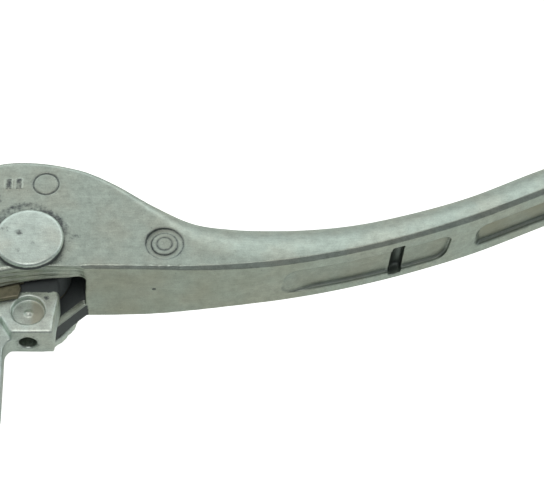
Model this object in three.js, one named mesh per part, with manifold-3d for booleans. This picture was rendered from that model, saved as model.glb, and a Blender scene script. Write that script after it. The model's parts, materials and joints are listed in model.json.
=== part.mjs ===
// Motorcycle clutch lever on its handlebar perch: a forked lever that straddles the perch tongue on a headed
// pivot pin, a two-piece handlebar clamp and a slotted cable adjuster. Units are millimetres, +Z is up.
// The origin is on the handlebar axis at the middle of the clamp. +X runs along the handlebar towards the
// lever tip and +Y points forward, away from the rider.
import * as THREE from 'three';
import { mergeVertices } from 'three/addons/utils/BufferGeometryUtils.js';
import Module from 'manifold-3d';

const wasm = await Module();
wasm.setup();

// ---- driving dimensions ----------------------------------------------------------------------------------
const GAP = 0.3; // clearance between pieces that touch on the real object
const LONG = 120; // length of a cutter that runs right through
const SAME_POINT = 0.02; // points nearer than this are one point
const ARC_STEP = 12; // degrees between the points of a round stretch

const BAR_RADIUS = 11.1; // a 22.2 mm handlebar
const PIVOT_FROM_BAR = { x: 30, y: 52 }; // pivot axis, measured from the clamp centre

const CLAMP = { bore: BAR_RADIUS + 0.15, outer: 16.5, width: 22, split: 0.75, lug: 26, bolt: 19.4 };
CLAMP.depth = { perch: 11.5, cap: 8.5 };
const BOLT = { radius: 3, flats: 10, head: 5, flange: 6, washer: 1.2, spring: 1.5, end: 9.5, dish: 0.8 };

const PIN = { radius: 4, head: 7.3, headHeight: 1.9, thread: 3 };
const NUT = { washer: 1.2, thickness: 5, flats: 10 };
const BUSH_RADIUS = 5.4;
const SHIM = { upper: [3.6, 4.75], lower: [-4.3, -3.6], inner: 6.9, outer: 8.1 };
const SEAL = { radius: 6.2, tube: 0.3 };

const TONGUE = { half: 3.5, nose: 8.4, rear: -18.8, left: -22, footFront: -14.2, footBottom: -4.2 };
const TONGUE_RECESS = { y: -13.3, radius: 3.5, depth: 1.3 };
const TONGUE_HOLE = { z: -0.5, radius: 1.9, depth: 8.5 };
const FLANGE = { bottom: -11.6, top: -9.5, x: -3, y: -2.5, radius: 13, rear: -13.9 };
const BLOCK = { left: -28, right: -15.6, front: 21, rear: -20, bottom: -12.2, top: 4.6 };
const WEB = { right: -4.95, bottom: -3.5, top: 1.2, rear: -40, corner: 3.5 };
const RIB = { left: -27, right: -12, bottom: -10.5, top: 3.2 };

const HEAD = { half: 9.2, edge: 0.9, left: -15, reach: 15, lobe: 13.4, lowerBevel: 0.5 };
const FORK_SLOT = { bottom: -4.4, top: 4.9, wall: 11.6 };
const CABLE = { y: 14.4, seat: { x: -6, y: 14.4 }, slit: 1.3 };
const SEAT = { radius: 4.6, top: 4, wall: 0.9, floor: 1.4 };

const BOSS = { radius: 8, left: -31, right: -16.2 };
const ADJUSTER = { thread: 4, bore: 1.7, ferrule: 3.2, head: 7.4, inner: -17.4, neck: -37.5, outer: -47 };
const LOCK_RING = { radius: 9.6, right: -31.5, left: -35.5 };

// ---- materials -------------------------------------------------------------------------------------------
const finish = (color, roughness, metalness) => new THREE.MeshStandardMaterial({ color, roughness, metalness });
const castAluminium = finish('#9ba295', 0.42, 1);
const perchAluminium = finish('#8f978c', 0.5, 1);
const plainSteel = finish('#a9aba5', 0.35, 1);
const zincSteel = finish('#b4b3a6', 0.32, 1);
const bronze = finish('#8b7350', 0.45, 1);
const rubber = finish('#1c1c1b', 0.8, 0);
const acetal = finish('#2a2b2a', 0.5, 0);

// ---- solids ----------------------------------------------------------------------------------------------
// Turns a closed three.js geometry into a solid that can be joined and cut.
function solid(geometry) {
  const bare = new THREE.BufferGeometry();
  bare.setAttribute('position', geometry.getAttribute('position').clone());
  if (geometry.index) bare.setIndex(geometry.index.clone());
  const merged = mergeVertices(bare, 1e-4);
  const index = Array.from(merged.index.array);
  const triVerts = [];
  for (let i = 0; i < index.length; i += 3) {
    const [a, b, c] = index.slice(i, i + 3);
    if (a !== b && b !== c && c !== a) triVerts.push(a, b, c);
  }
  const mesh = new wasm.Mesh({
    numProp: 3,
    vertProperties: new Float32Array(merged.getAttribute('position').array),
    triVerts: new Uint32Array(triVerts),
  });
  return new wasm.Manifold(mesh);
}

// Turns a solid back into a geometry with flat faces.
function geometryOf(body) {
  const mesh = body.getMesh();
  const geometry = new THREE.BufferGeometry();
  geometry.setAttribute('position', new THREE.BufferAttribute(new Float32Array(mesh.vertProperties), 3));
  geometry.setIndex(new THREE.BufferAttribute(new Uint32Array(mesh.triVerts), 1));
  return geometry;
}

// An outline of points, where a point may be { arc: [x, y], radius, from, to } in degrees for a round stretch,
// or { curve: [points] } for a smooth curve through points. Points that coincide are kept once.
function outline(parts) {
  const points = [];
  for (const part of parts) {
    if (part.arc) {
      const { radius, from, to } = part;
      const steps = Math.max(2, Math.ceil(Math.abs(to - from) / ARC_STEP));
      for (let i = 0; i <= steps; i += 1) {
        const angle = THREE.MathUtils.degToRad(from + ((to - from) * i) / steps);
        points.push(new THREE.Vector2(part.arc[0] + radius * Math.cos(angle), part.arc[1] + radius * Math.sin(angle)));
      }
    } else if (part.curve) {
      const through = [points[points.length - 1], ...part.curve.map(([x, y]) => new THREE.Vector2(x, y))];
      points.push(...new THREE.SplineCurve(through).getPoints(2 * part.curve.length));
    } else {
      points.push(new THREE.Vector2(part[0], part[1]));
    }
  }
  const apart = points.filter((point, i) => point.distanceTo(points[(i + 1) % points.length]) > SAME_POINT);
  return new THREE.Shape(apart);
}

// A plate with its outline in the XY plane, from z0 to z1, with an optional bevel inside the outline.
function plate(parts, z0, z1, bevel = 0) {
  const geometry = new THREE.ExtrudeGeometry(outline(parts), {
    depth: z1 - z0 - 2 * bevel,
    bevelEnabled: bevel > 0,
    bevelThickness: bevel,
    bevelSize: bevel,
    bevelOffset: -bevel,
    bevelSegments: 2,
  });
  geometry.translate(0, 0, z0 + bevel);
  return solid(geometry);
}

const alongX = new THREE.Matrix4().makeBasis(
  new THREE.Vector3(0, 1, 0),
  new THREE.Vector3(0, 0, 1),
  new THREE.Vector3(1, 0, 0),
);
const alongY = new THREE.Matrix4().makeBasis(
  new THREE.Vector3(0, 0, 1),
  new THREE.Vector3(1, 0, 0),
  new THREE.Vector3(0, 1, 0),
);

// A geometry made along Z, turned by a matrix and moved to a place.
const placed = (geometry, turn, x, y, z) => geometry.applyMatrix4(turn).translate(x, y, z);

// A round solid from a profile of [radius, height] points, turned about Z.
function turned(profile, segments = 24) {
  return new THREE.LatheGeometry(profile.map(([r, h]) => new THREE.Vector2(r, h)), segments).rotateX(Math.PI / 2);
}

// A disc or tube from z0 to z1 with broken edges.
function ring(inner, outer, z0, z1, edge = 0, segments = 24) {
  const profile = [
    [inner, z0],
    [outer - edge, z0],
    [outer, z0 + edge],
    [outer, z1 - edge],
    [outer - edge, z1],
    [inner, z1],
  ];
  if (inner > 0) profile.push([inner, z0]);
  return turned(profile, segments);
}

const rod = (radius, z0, z1, segments = 24) => ring(0, radius, z0, z1, 0, segments);
const box = (x0, x1, y0, y1, z0, z1) =>
  new THREE.BoxGeometry(x1 - x0, y1 - y0, z1 - z0).translate((x0 + x1) / 2, (y0 + y1) / 2, (z0 + z1) / 2);

// A hexagon with a chamfered face at the z1 end.
function hexagon(flats, z0, z1) {
  const corner = flats / Math.sqrt(3);
  const prism = solid(new THREE.CylinderGeometry(corner, corner, z1 - z0, 6).rotateX(Math.PI / 2)
    .translate(0, 0, (z0 + z1) / 2));
  return prism.intersect(solid(turned([[0, z0], [corner, z0], [corner, z1 - 0.6], [corner - 1.1, z1], [0, z1]])));
}

// ---- the lever -------------------------------------------------------------------------------------------
// Sections of the blade: x, rear edge y, front edge y, half height, bevel, depth and height of the round nose.
const BLADE = [
  [12, -6.4, 18.7, 9.2, 0.7, 1.4, 1.4],
  [18, -6.4, 15.4, 9.15, 0.7, 1.6, 1.6],
  [26, -6.3, 10.9, 8.8, 0.7, 3.0, 2.8],
  [34, -5.95, 8.1, 8.1, 0.8, 6.0, 4.6],
  [42, -5.25, 7.8, 7.5, 0.9, 9.4, 6.0],
  [52, -4.05, 8.1, 7.15, 1.0, 10.7, 6.6],
  [64, -1.7, 9.0, 7.05, 1.0, 9.4, 6.7],
  [78, 2.15, 11.9, 7.0, 1.0, 8.5, 6.6],
  [92, 7.1, 16.5, 7.0, 1.1, 8.0, 6.6],
  [108, 14.3, 23.9, 6.9, 1.1, 8.2, 6.5],
  [120, 20.0, 29.1, 6.6, 1.1, 7.7, 6.2],
  [132, 24.8, 33.0, 6.2, 1.2, 6.8, 5.8],
  [144, 28.0, 35.4, 5.8, 1.3, 5.8, 5.4],
  [156, 29.4, 36.1, 5.5, 1.4, 5.0, 5.2],
];
const BALL = { x: 163, y: 32.9, radius: 7.8 };
const bladeX = BLADE.map((row) => row[0]);
const bladeCurves = new THREE.CubicInterpolant(bladeX, BLADE.flatMap((row) => row.slice(1)), BLADE[0].length - 1);
const bladeAt = (x) => Array.from(bladeCurves.evaluate(x));

// One section of the blade: a flat rear face, a bevel, a flat top and a round nose, with a small bevel below.
function bladeSection(x, noseSteps) {
  const [rear, front, half, bevel, depth, height] = bladeAt(x);
  const nose = [];
  for (let i = 0; i <= noseSteps; i += 1) {
    const angle = (Math.PI / 2) * (1 - i / noseSteps);
    nose.push([front - depth * (1 - Math.cos(angle)), half - height * (1 - Math.sin(angle))]);
  }
  const noseBelow = nose.map(([y, z]) => [y, -z]).reverse();
  const upper = [[rear, half - bevel], [rear + bevel, half], ...nose];
  const lower = [...noseBelow, [rear + HEAD.lowerBevel, -half], [rear, HEAD.lowerBevel - half]];
  return [...upper, ...lower].map(([y, z]) => [x, y, z]);
}

// Joins a row of sections into one closed solid.
function loft(sections) {
  const count = sections[0].length;
  const index = [];
  for (let s = 0; s + 1 < sections.length; s += 1) {
    for (let i = 0; i < count; i += 1) {
      const a = s * count + i;
      const b = s * count + ((i + 1) % count);
      index.push(a, b + count, b, a, a + count, b + count);
    }
  }
  const last = (sections.length - 1) * count;
  for (let i = 1; i + 1 < count; i += 1) {
    index.push(0, i, i + 1);
    index.push(last, last + i + 1, last + i);
  }
  const geometry = new THREE.BufferGeometry();
  geometry.setAttribute('position', new THREE.Float32BufferAttribute(sections.flat(2), 3));
  geometry.setIndex(index);
  return solid(geometry);
}

function leverBlade() {
  const first = bladeX[0];
  const last = bladeX[bladeX.length - 1];
  const sections = [];
  for (let x = first; x <= last; x += 4) sections.push(bladeSection(x, 6));
  const ball = new THREE.SphereGeometry(BALL.radius, 28, 18).scale(1.05, 1, 0.98).translate(BALL.x, BALL.y, 0);
  return loft(sections).add(solid(ball));
}

// The rear edge of the blade, moved into the metal by a depth.
const rearEdge = (x, depth) => [x, bladeAt(x)[0] + depth];

// A lightening pocket in the rear face, from x0 to x1, that runs out to nothing over a length at its left end.
function pocket({ x0, x1, z0, z1, depth, runOut }) {
  const floor = [];
  const mouth = [];
  const steps = 10;
  for (let i = 0; i <= steps; i += 1) {
    const x = x0 + ((x1 - x0) * i) / steps;
    const rise = Math.min(1, (x - x0) / runOut);
    floor.push(rearEdge(x, depth * rise));
    mouth.unshift(rearEdge(x, -2));
  }
  return plate([...floor, ...mouth], z0, z1);
}

const POCKETS = [
  { x0: 54, x1: 88.6, z0: -4.5, z1: 3.3, depth: 1.2, runOut: 7 },
  { x0: 92.8, x1: 137, z0: -4.1, z1: 2.9, depth: 1.3, runOut: 0.5 },
];
const NOTCH = { x: 77.3, width: 2.7, z0: -5.6, z1: 4.4, depth: 3.1 };

// The tall notch between the pockets, with a rounded bottom.
function notch() {
  const left = NOTCH.x - NOTCH.width / 2;
  const right = NOTCH.x + NOTCH.width / 2;
  const wallDepth = NOTCH.depth - 1;
  return plate(
    [rearEdge(left, -3), rearEdge(right, -3), rearEdge(right, wallDepth), rearEdge(NOTCH.x, NOTCH.depth),
      rearEdge(left, wallDepth)],
    NOTCH.z0, NOTCH.z1,
  );
}

// Shallow rings left in the upper face by the ejector pins.
const EJECTOR_MARKS = [
  { x: 2.9, y: 15.1, radius: 2.8, width: 0.45, top: HEAD.half, depth: 0.35 },
  { x: 28.3, y: 0.1, radius: 4, width: 1.15, top: HEAD.half - 0.6, depth: 0.5 },
];
const ejectorRing = ({ x, y, radius, width, top, depth }) =>
  solid(ring(radius - width, radius, top - depth, top + 1, 0, 24).translate(x, y, 0));

function lever() {
  const { half, edge, left, reach, lobe } = HEAD;
  const { bottom, top, wall } = FORK_SLOT;
  const frontEdge = [
    { curve: [[8, 19.35], [3, 20.6], [-3, 20.95], [-8, 20.1], [-12, 17.4], [left, 13]] },
    [left, 0],
  ];
  const upper = plate(
    [[15, -6.4], [15, 16.9], ...frontEdge, { arc: [0, 0], radius: reach, from: 180, to: 212 },
      { curve: [[-8.5, -8.2], [-3.5, -7.3], [4, -6.7], [11, -6.3]] }],
    top - 1, half, edge,
  );
  const lower = plate(
    [[15, -6.4], [15, 16.9], ...frontEdge, { arc: [0, 0], radius: reach, from: 180, to: 200 },
      { arc: [0, 0], radius: lobe, from: 205, to: 293 }, [11.4, -6.4]],
    -half, bottom + 1, edge,
  );
  const core = plate([[15, -6.4], [15, 16.9], ...frontEdge, [-8, 5], [11, 2], [11.7, -6.4]], bottom, top + 1);
  const tongueSlot = plate(
    [[left - 2, 5.8], [left - 2, -20], [wall, -20], { curve: [[wall, 2], [9, 8.6], [3, 10.6], [-5, 9.2]] }],
    bottom, top,
  );
  const { seat } = CABLE;
  const cableSlit = solid(box(left - 2, seat.x, seat.y - CABLE.slit, seat.y + CABLE.slit, -LONG, SEAT.top - 1));
  const seatHole = solid(rod(SEAT.radius + GAP, -LONG, top + 1).translate(seat.x, seat.y, 0));
  const pivotHole = solid(rod(PIN.radius + GAP, -LONG, LONG));
  let body = upper.add(lower).add(core).add(leverBlade());
  body = body.subtract(tongueSlot).subtract(cableSlit).subtract(seatHole).subtract(pivotHole);
  for (const shape of POCKETS) body = body.subtract(pocket(shape));
  body = body.subtract(notch());
  for (const mark of EJECTOR_MARKS) body = body.subtract(ejectorRing(mark));
  return geometryOf(body);
}

// ---- the perch -------------------------------------------------------------------------------------------
const barX = -PIVOT_FROM_BAR.x;
const barY = -PIVOT_FROM_BAR.y;

// A half of the clamp: a half ring with a bolt lug above and below, on one side of the split.
function clampHalf(side) {
  const { outer, split, lug, depth, width, bore, bolt } = CLAMP;
  const lugDepth = side > 0 ? depth.perch : depth.cap;
  const shape = [
    [side * split, -lug],
    [side * lugDepth, -lug],
    [side * lugDepth, -Math.sqrt(outer ** 2 - lugDepth ** 2)],
    { arc: [0, 0], radius: outer, from: side > 0 ? -50 : 230, to: side > 0 ? 50 : 130 },
    [side * lugDepth, lug],
    [side * split, lug],
  ];
  const profile = side > 0 ? shape : [...shape].reverse().map((part) =>
    (part.arc ? { ...part, from: part.to, to: part.from } : part));
  const geometry = new THREE.ExtrudeGeometry(outline(profile), {
    depth: width - 2,
    bevelThickness: 1,
    bevelSize: 1,
    bevelOffset: -1,
    bevelSegments: 2,
  });
  let body = solid(placed(geometry.translate(0, 0, 1 - width / 2), alongX, barX, barY, 0));
  body = body.subtract(solid(placed(rod(bore, -LONG, LONG, 48), alongX, barX, barY, 0)));
  for (const z of [-bolt, bolt]) {
    body = body.subtract(solid(placed(rod(BOLT.radius + GAP, -LONG, LONG), alongY, barX, barY, z)));
    const spotFace = rod(BOLT.flange + 0.7, lugDepth, LONG);
    if (side < 0) body = body.subtract(solid(placed(spotFace.rotateX(Math.PI), alongY, barX, barY, z)));
  }
  return body;
}

function perchBody() {
  const { half, nose, rear, left } = TONGUE;
  const tongue = plate(
    [[5.3, rear], [5.6, -14.5], [6.3, -10], { arc: [0, 0], radius: nose, from: -44, to: 118 },
      [BLOCK.right - 1, 4.6], [left, 4.6], [left, -15], [-5.7, -15], [-3.5, rear]],
    -half, half, 0.5,
  );
  const flange = plate(
    [{ arc: [FLANGE.x, FLANGE.y], radius: FLANGE.radius, from: -61, to: 60 }, [BLOCK.right - 2, 6], [left, 6],
      [left, -17], [-11, -17], [-8, FLANGE.rear]],
    FLANGE.bottom, FLANGE.top, 0.6,
  );
  const foot = plate(
    [[5.3, rear], [5.5, TONGUE.footFront], [-5.7, TONGUE.footFront], [-5.7, -15], [-3.5, rear]],
    TONGUE.footBottom, 0, 0.5,
  );
  const block = plate(
    [[BLOCK.right, BLOCK.rear], [BLOCK.right, BLOCK.front],
      { arc: [BLOCK.right - 5, BLOCK.front], radius: 5, from: 0, to: 90 },
      { arc: [BLOCK.left + 5, BLOCK.front], radius: 5, from: 90, to: 180 }, [BLOCK.left, BLOCK.rear]],
    BLOCK.bottom, BLOCK.top, 1.2,
  );
  const web = plate(
    [[3, -14], [3, rear], { arc: [WEB.right + 3, rear - 3], radius: 3, from: 90, to: 180 },
      { arc: [WEB.right - WEB.corner, WEB.rear + WEB.corner], radius: WEB.corner, from: 0, to: -90 },
      [barX - 6, WEB.rear], [-34, -30],
      [BLOCK.left, BLOCK.rear], [BLOCK.left + 1, -14]],
    WEB.bottom, WEB.top, 0.5,
  );
  const rib = plate(
    [[RIB.right, BLOCK.rear], [RIB.right - 2, WEB.rear + 1], [barX + 6, WEB.rear - 2], [barX - 4, WEB.rear - 2],
      [RIB.left, BLOCK.rear + 2], [RIB.right - 4, BLOCK.rear + 4]],
    RIB.bottom, RIB.top, 1.2,
  );
  const boss = solid(placed(ring(0, BOSS.radius, BOSS.left, BOSS.right, 0.8, 36), alongX, 0, CABLE.y, 0));
  let body = block.add(tongue).add(foot).add(flange).add(web).add(rib).add(boss).add(clampHalf(1));
  const barRoom = solid(placed(rod(CLAMP.bore, -LONG, LONG, 48), alongX, barX, barY, 0));
  const cableHole = solid(placed(rod(ADJUSTER.thread + GAP, -LONG, LONG, 24), alongX, 0, CABLE.y, 0));
  const cableSlot = solid(box(-LONG, BLOCK.right + 1, CABLE.y - CABLE.slit, CABLE.y + CABLE.slit, -LONG, 0));
  const bushHole = solid(rod(BUSH_RADIUS + GAP, -TONGUE.half - 1, TONGUE.half + 1));
  const pinHole = solid(rod(PIN.radius + GAP, -LONG, 0));
  const recess = rod(TONGUE_RECESS.radius, half - TONGUE_RECESS.depth, half + 1).translate(0, TONGUE_RECESS.y, 0);
  const frontHole = placed(rod(TONGUE_HOLE.radius, -1, TONGUE_HOLE.depth, 20), alongY, 0, rear, TONGUE_HOLE.z);
  for (const cutter of [barRoom, cableHole, cableSlot, bushHole, pinHole, solid(recess), solid(frontHole)]) {
    body = body.subtract(cutter);
  }
  return geometryOf(body);
}

// ---- pivot hardware --------------------------------------------------------------------------------------
const washerTop = FLANGE.bottom - 0.1;
const nutTop = washerTop - NUT.washer - 0.1;

function pivotPin() {
  const seat = HEAD.half + 0.15;
  const top = seat + PIN.headHeight;
  return turned([
    [0, nutTop - NUT.thickness - 1.5],
    [PIN.thread - 0.5, nutTop - NUT.thickness - 1.5],
    [PIN.thread, nutTop - NUT.thickness - 1],
    [PIN.thread, FLANGE.bottom + 0.5],
    [PIN.radius, FLANGE.bottom + 1.2],
    [PIN.radius, seat],
    [PIN.head, seat],
    [PIN.head, top - 0.9],
    [PIN.head - 0.35, top - 0.25],
    [PIN.head - 1.1, top],
    [0, top],
  ], 40);
}

// The bronze shim between the fork and the tongue: a C with a tab that stops it turning with the lever.
function thrustShim() {
  const body = plate(
    [{ arc: [0, 0], radius: SHIM.outer, from: -40, to: 220 }, [-12, -8.6], [-12, -12.6], [-2.15, -10.6],
      [-1.6, -8.4], [-2, -7.2]],
    ...SHIM.upper,
  );
  return geometryOf(body.subtract(solid(rod(SHIM.inner, -LONG, LONG))));
}

const sealRing = (z) => {
  const section = [];
  const steps = 8;
  for (let i = 0; i <= steps; i += 1) {
    const angle = (Math.PI * 2 * i) / steps;
    section.push([SEAL.radius + SEAL.tube * Math.cos(angle), z + SEAL.tube * Math.sin(angle)]);
  }
  return turned(section, 36);
};

const pivotNut = () => geometryOf(hexagon(NUT.flats, 0, NUT.thickness).subtract(solid(rod(PIN.thread + GAP, -1, LONG))));

// ---- clamp hardware --------------------------------------------------------------------------------------
// Built along Z with the head up, then laid along -Y behind the cap.
function clampBolt() {
  const head = hexagon(BOLT.flats, 0, BOLT.head).add(solid(ring(0, BOLT.flange, 0, 1.2, 0.3)));
  const dishFloor = BOLT.head - BOLT.dish;
  const dish = solid(turned([[0, dishFloor], [2.6, dishFloor], [3.2, BOLT.head + 1], [0, BOLT.head + 1]]));
  const reach = CLAMP.depth.cap + BOLT.washer + BOLT.spring + 0.3 + BOLT.end;
  const shank = solid(ring(0, BOLT.radius, -reach, 0.5, 0.6, 24));
  return geometryOf(head.subtract(dish).add(shank));
}

// A split spring washer: a flat ring with a slanting cut.
function springWasher() {
  const full = solid(ring(BOLT.radius + GAP, BOLT.flange - 1, 0, BOLT.spring, 0.15));
  const cut = new THREE.BoxGeometry(LONG, 0.9, LONG).rotateX(0.5).translate(LONG / 2, 0, BOLT.spring / 2);
  return geometryOf(full.subtract(solid(cut)));
}

// ---- cable adjuster --------------------------------------------------------------------------------------
// A round solid along X with flutes cut into its rim.
function fluted(body, radius, count, flute) {
  let cut = body;
  for (let i = 0; i < count; i += 1) {
    const angle = ((i + 0.5) * Math.PI * 2) / count;
    const groove = rod(flute, -LONG, LONG, 10).translate(radius * Math.cos(angle), radius * Math.sin(angle), 0);
    cut = cut.subtract(solid(groove));
  }
  return cut;
}

// A slot from the cable's line out through the lower side, so that the cable drops in sideways.
const cableSlotAlongZ = () => solid(box(-CABLE.slit, CABLE.slit, -LONG, 0, -LONG, LONG).rotateZ(-Math.PI / 2));

function cableAdjuster() {
  const { thread, bore, ferrule, head, inner, neck, outer } = ADJUSTER;
  const grip = fluted(solid(ring(0, head, outer, neck, 0.8, 36)), head + 0.7, 10, 1.3);
  const stem = solid(ring(0, thread, neck - 0.5, inner, 0.5, 28));
  let body = grip.add(stem);
  body = body.subtract(solid(rod(bore, -LONG, LONG, 20)));
  body = body.subtract(solid(rod(ferrule, outer - 1, outer + 8, 24)));
  return geometryOf(body.subtract(cableSlotAlongZ()));
}

function lockRing() {
  const { radius, right, left } = LOCK_RING;
  const rim = fluted(solid(ring(0, radius, left, right, 0.6, 36)), radius + 0.6, 14, 1.2);
  return geometryOf(rim.subtract(solid(rod(ADJUSTER.thread + GAP, -LONG, LONG, 28))).subtract(cableSlotAlongZ()));
}

// The seat that the cable's end barrel drops into: a short sleeve with a slot for the wire.
function cableSeat() {
  const { radius, top, wall, floor } = SEAT;
  const halfSlot = CABLE.slit - 0.2;
  const sleeve = solid(ring(0, radius, -HEAD.half + 0.4, top, 0.3, 28));
  const barrelHole = solid(rod(radius - wall - 0.6, -LONG, top - floor, 24));
  const wireSlot = solid(box(-LONG, 0, -halfSlot, halfSlot, -LONG, top - floor));
  return geometryOf(sleeve.subtract(barrelHole).subtract(wireSlot));
}

// ---- assembly --------------------------------------------------------------------------------------------
const assembly = new THREE.Group();
const atPivot = new THREE.Group();
atPivot.position.set(PIVOT_FROM_BAR.x, PIVOT_FROM_BAR.y, 0);
assembly.add(atPivot);

function add(parent, name, geometry, material, x = 0, y = 0, z = 0) {
  const mesh = new THREE.Mesh(geometry, material);
  mesh.name = name;
  mesh.position.set(x, y, z);
  parent.add(mesh);
  return mesh;
}

add(atPivot, 'lever', lever(), castAluminium);
add(atPivot, 'perch_body', perchBody(), perchAluminium);
add(atPivot, 'clamp_cap', geometryOf(clampHalf(-1)), perchAluminium);
add(atPivot, 'pivot_pin', pivotPin(), castAluminium);
add(atPivot, 'pivot_bush', ring(PIN.radius + 0.05, BUSH_RADIUS, -TONGUE.half - 0.4, TONGUE.half + 0.4, 0.2), bronze);
add(atPivot, 'thrust_shim_upper', thrustShim(), bronze);
add(atPivot, 'thrust_shim_lower', ring(SHIM.inner, SHIM.outer, ...SHIM.lower), bronze);
add(atPivot, 'dust_seal_upper', sealRing(SHIM.upper[0] + SEAL.tube), rubber);
add(atPivot, 'dust_seal_lower', sealRing(SHIM.lower[1] - SEAL.tube), rubber);
add(atPivot, 'pivot_washer', ring(PIN.thread + GAP, 6.5, washerTop - NUT.washer, washerTop, 0.15), zincSteel);
add(atPivot, 'pivot_nut', pivotNut(), zincSteel, 0, 0, nutTop).rotation.x = Math.PI;
add(atPivot, 'cable_seat', cableSeat(), acetal, CABLE.seat.x, CABLE.seat.y, 0);

// Pieces turned about the cable's line lie along X.
const onCableLine = new THREE.Group();
onCableLine.position.set(0, CABLE.y, 0);
onCableLine.quaternion.setFromRotationMatrix(alongX);
atPivot.add(onCableLine);
add(onCableLine, 'cable_adjuster', cableAdjuster(), zincSteel);
add(onCableLine, 'adjuster_lock_ring', lockRing(), plainSteel);

// Each clamp bolt lies along Y at its lug, with its washers stacked on the rear face of the cap.
for (const [level, z] of [['upper', CLAMP.bolt], ['lower', -CLAMP.bolt]]) {
  const stack = new THREE.Group();
  stack.position.set(0, -CLAMP.depth.cap, z);
  stack.rotation.x = Math.PI / 2;
  assembly.add(stack);
  const springSeat = 0.1 + BOLT.washer + 0.1;
  add(stack, `clamp_washer_${level}`, ring(BOLT.radius + GAP, BOLT.flange, 0.1, 0.1 + BOLT.washer, 0.15), zincSteel);
  add(stack, `clamp_spring_washer_${level}`, springWasher(), plainSteel, 0, 0, springSeat);
  add(stack, `clamp_bolt_${level}`, clampBolt(), zincSteel, 0, 0, springSeat + BOLT.spring + 0.1);
}

export default assembly;
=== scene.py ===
import json
import math
from itertools import product

import bpy
import numpy as np
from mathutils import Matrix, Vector


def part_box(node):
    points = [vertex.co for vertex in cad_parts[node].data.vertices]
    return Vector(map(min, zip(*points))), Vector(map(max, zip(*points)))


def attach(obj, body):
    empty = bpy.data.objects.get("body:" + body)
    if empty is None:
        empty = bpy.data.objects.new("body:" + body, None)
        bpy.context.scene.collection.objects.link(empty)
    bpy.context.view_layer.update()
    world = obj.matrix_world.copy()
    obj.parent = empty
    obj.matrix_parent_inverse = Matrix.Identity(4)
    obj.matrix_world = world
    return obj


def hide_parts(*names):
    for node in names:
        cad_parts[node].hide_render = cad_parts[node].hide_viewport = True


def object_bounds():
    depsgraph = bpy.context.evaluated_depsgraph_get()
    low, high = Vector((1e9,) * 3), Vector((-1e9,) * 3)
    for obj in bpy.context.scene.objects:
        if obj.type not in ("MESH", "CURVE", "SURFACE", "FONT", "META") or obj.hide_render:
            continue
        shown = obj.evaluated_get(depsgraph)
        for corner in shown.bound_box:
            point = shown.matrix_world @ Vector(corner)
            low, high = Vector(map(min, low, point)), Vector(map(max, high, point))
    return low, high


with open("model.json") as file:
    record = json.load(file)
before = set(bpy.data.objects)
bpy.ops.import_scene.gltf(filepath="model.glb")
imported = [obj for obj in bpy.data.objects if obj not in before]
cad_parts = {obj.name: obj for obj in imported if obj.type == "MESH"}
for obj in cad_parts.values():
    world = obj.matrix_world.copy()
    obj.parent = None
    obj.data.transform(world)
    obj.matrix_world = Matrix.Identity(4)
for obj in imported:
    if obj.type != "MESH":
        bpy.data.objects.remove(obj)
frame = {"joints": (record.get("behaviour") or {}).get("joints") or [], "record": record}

# Every piece is worked out as signed distances on a grid of points, negative inside the metal, and then skinned.
# Lengths in those shapes are millimetres from the pivot axis, half way through the fork: +X to the lever's tip,
# +Y forward, +Z up. The skin turns them into metres in the frame's place.
CAD_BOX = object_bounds()
MM = 0.001
JOINTS = {joint["name"]: joint for joint in frame["joints"]}
PIVOT = Vector(JOINTS["lever_pivot"]["pos_m"])
BODY_OF = {node: body for body, nodes in frame["record"]["behaviour"]["bodies"].items() for node in nodes}
BAR = -PIVOT / MM        # the handlebar's axis, seen from the pivot


# ---- distances -----------------------------------------------------
def soft_max(a, b, blend):
    """The larger of two distances, so the overlap of two shapes, with the edge between them rounded."""
    mix = np.clip(0.5 + 0.5 * (a - b) / blend, 0, 1)
    return b + (a - b) * mix + blend * mix * (1 - mix)


def soft_min(a, b, blend):
    """The smaller of two distances, so two shapes joined with a fillet."""
    return -soft_max(-a, -b, blend)


def overlap(blend, first, *others):
    for other in others:
        first = soft_max(first, other, blend)
    return first


def slab(value, low, high):
    """Distance to the space between two parallel planes."""
    return np.abs(value - (low + high) / 2) - (high - low) / 2


def ramp(value, low, high):
    """0 below low, 1 above high and a smooth step between."""
    t = np.clip((value - low) / (high - low), 0, 1)
    return t * t * (3 - 2 * t)


def through(points, at):
    """A smooth curve through (x, y) points, read at x."""
    px, py = (np.array(side, float) for side in zip(*points))
    slope = np.gradient(py, px)
    at = np.clip(at, px[0], px[-1])
    i = np.clip(np.searchsorted(px, at) - 1, 0, len(px) - 2)
    width = px[i + 1] - px[i]
    t = (at - px[i]) / width
    rise = slope[i] * width * t * (1 - t) ** 2 - slope[i + 1] * width * t ** 2 * (1 - t)
    return py[i] * (1 + 2 * t) * (1 - t) ** 2 + py[i + 1] * t ** 2 * (3 - 2 * t) + rise


def arc(centre, radius, start, end, step=6):
    """Points of a round stretch, with its angles in degrees."""
    angles = np.radians(np.linspace(start, end, max(2, int(abs(end - start) / step)) + 1))
    return [(centre[0] + radius * math.cos(a), centre[1] + radius * math.sin(a)) for a in angles]


def curve(*points, steps=6):
    """A smooth open curve through points, as a denser list of points."""
    turn = np.arange(len(points))
    fine = np.linspace(0, len(points) - 1, (len(points) - 1) * steps + 1)
    xs = through(list(zip(turn, [p[0] for p in points])), fine)
    ys = through(list(zip(turn, [p[1] for p in points])), fine)
    return list(zip(xs, ys))


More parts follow.
